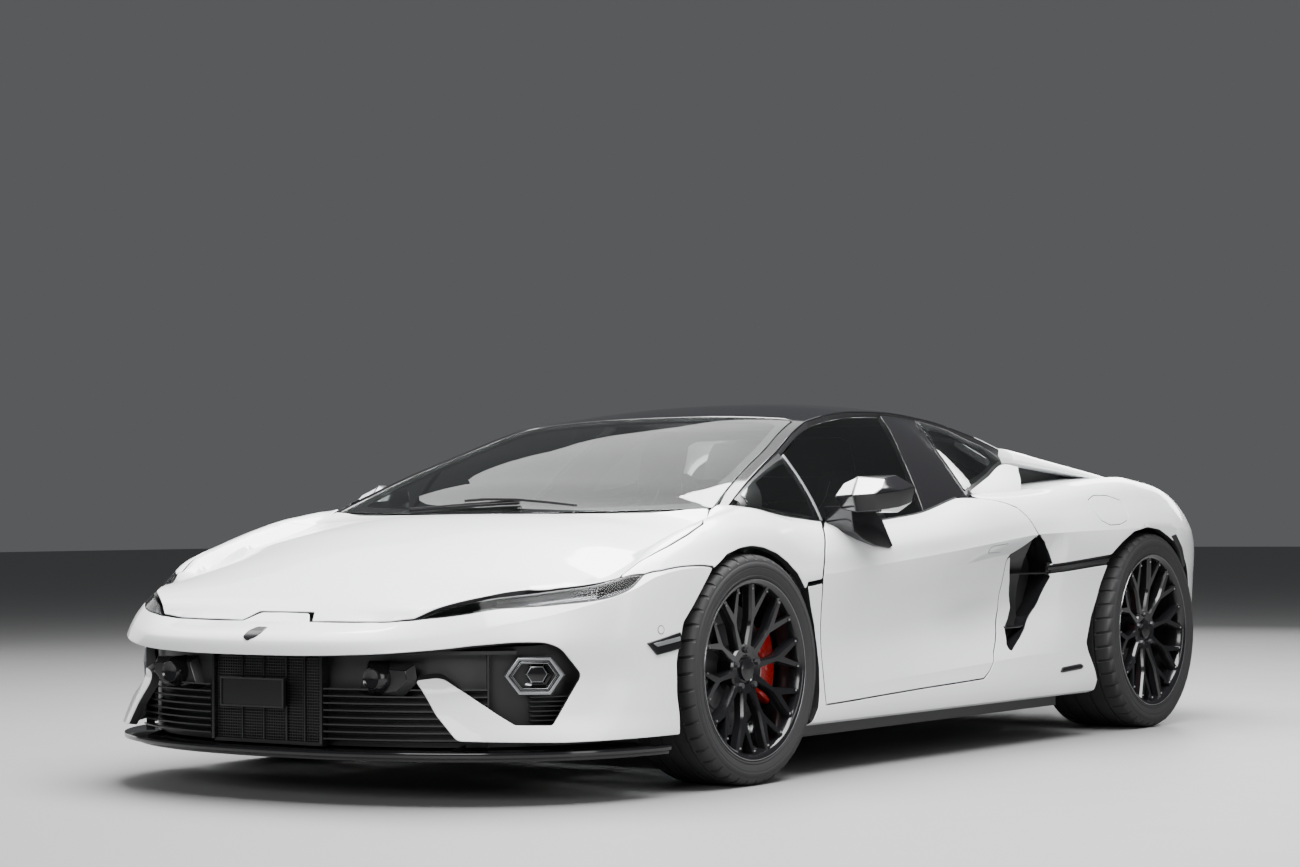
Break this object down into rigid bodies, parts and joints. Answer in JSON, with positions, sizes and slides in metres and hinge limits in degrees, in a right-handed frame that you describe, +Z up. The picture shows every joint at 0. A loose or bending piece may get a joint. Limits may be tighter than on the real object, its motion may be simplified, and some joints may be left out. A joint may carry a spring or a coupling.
{
  "type": "sports car",
  "caption": "Low two-seat mid-engined coupe with a black roof, side air intakes behind the doors, turning and steering wheels, and doors and lids that open.",
  "frame": {"origin": "on the ground, under the middle of the car's bounding box", "axes": "+X to the car's left, +Y to its tail, +Z up"},
  "size_m": [2.246, 4.706, 1.2008],
  "materials": {
    "white_paint": "gloss",
    "black_paint": "gloss",
    "black_gloss": "gloss",
    "black_plastic": "matte",
    "black_structure": "satin",
    "glass": "gloss",
    "lamp": "gloss",
    "tail_lamp": "gloss",
    "red_paint": "gloss",
    "dark_steel": "satin",
    "cast_alloy": "satin",
    "black_wheel": "gloss",
    "tyre": "matte",
    "leather": "satin"
  },
  "bodies": {
    "chassis": {"arch_liners": "black_plastic", "dashboard": "leather", "diffuser": "black_gloss", "engine_block": "cast_alloy", "exhausts": "dark_steel", "fender_left": "white_paint", "fender_right": "white_paint", "front_boot": "black_plastic", "front_bumper": "white_paint", "front_grille": "black_plastic", "front_splitter": "black_gloss", "front_suspension": "dark_steel", "headlamps": "lamp", "marker_lamps": "lamp", "rear_bumper": "white_paint", "rear_calipers": "red_paint", "rear_deck": "white_paint", "rear_suspension": "dark_steel", "rear_uprights": "cast_alloy", "roof": "black_paint", "seat_left": "leather", "seat_right": "leather", "side_ducts": "black_plastic", "side_left": "white_paint", "side_lights": "glass", "side_right": "white_paint", "steering_wheel": "leather", "tail_lamps": "tail_lamp", "tub": "black_structure", "windscreen": "glass"},
    "door_left": {"door_left": "white_paint", "door_glass_left": "glass", "mirror_left": "black_gloss"},
    "door_right": {"door_right": "white_paint", "door_glass_right": "glass", "mirror_right": "black_gloss"},
    "bonnet": {"bonnet": "white_paint"},
    "engine_cover": {"engine_cover": "white_paint"},
    "knuckle_left": {"knuckle_left": "cast_alloy", "front_caliper_left": "red_paint"},
    "knuckle_right": {"knuckle_right": "cast_alloy", "front_caliper_right": "red_paint"},
    "wheel_front_left": {"rim_front_left": "black_wheel", "tyre_front_left": "tyre"},
    "wheel_front_right": {"rim_front_right": "black_wheel", "tyre_front_right": "tyre"},
    "wheel_rear_left": {"rim_rear_left": "black_wheel", "tyre_rear_left": "tyre"},
    "wheel_rear_right": {"rim_rear_right": "black_wheel", "tyre_rear_right": "tyre"}
  },
  "joints": [
    {"name": "steer_left", "type": "hinge", "parent": "chassis", "child": "knuckle_left", "pos_m": [0.811, -1.213, 0.343], "axis": [0, 0, 1], "range_deg": [-28, 28]},
    {"name": "steer_right", "type": "hinge", "parent": "chassis", "child": "knuckle_right", "pos_m": [-0.811, -1.213, 0.343], "axis": [0, 0, 1], "range_deg": [-28, 28]},
    {"name": "spin_front_left", "type": "hinge", "parent": "knuckle_left", "child": "wheel_front_left", "pos_m": [0.861, -1.213, 0.343], "axis": [1, 0, 0], "continuous": true},
    {"name": "spin_front_right", "type": "hinge", "parent": "knuckle_right", "child": "wheel_front_right", "pos_m": [-0.861, -1.213, 0.343], "axis": [1, 0, 0], "continuous": true},
    {"name": "spin_rear_left", "type": "hinge", "parent": "chassis", "child": "wheel_rear_left", "pos_m": [0.835, 1.445, 0.364], "axis": [1, 0, 0], "continuous": true},
    {"name": "spin_rear_right", "type": "hinge", "parent": "chassis", "child": "wheel_rear_right", "pos_m": [-0.835, 1.445, 0.364], "axis": [1, 0, 0], "continuous": true},
    {"name": "open_door_left", "type": "hinge", "parent": "chassis", "child": "door_left", "pos_m": [0.99, -0.822, 0.5], "axis": [0, 0, -1], "range_deg": [0, 65]},
    {"name": "open_door_right", "type": "hinge", "parent": "chassis", "child": "door_right", "pos_m": [-0.99, -0.822, 0.5], "axis": [0, 0, 1], "range_deg": [0, 65]},
    {"name": "open_bonnet", "type": "hinge", "parent": "chassis", "child": "bonnet", "pos_m": [0, -1.122, 0.83], "axis": [-1, 0, 0], "range_deg": [0, 60]},
    {"name": "open_engine_cover", "type": "hinge", "parent": "chassis", "child": "engine_cover", "pos_m": [0, 0.722, 1.142], "axis": [1, 0, 0], "range_deg": [0, 50]}
  ],
  "couplings": [
    {"joint": "steer_right", "follows": "steer_left", "ratio": 1}
  ]
}
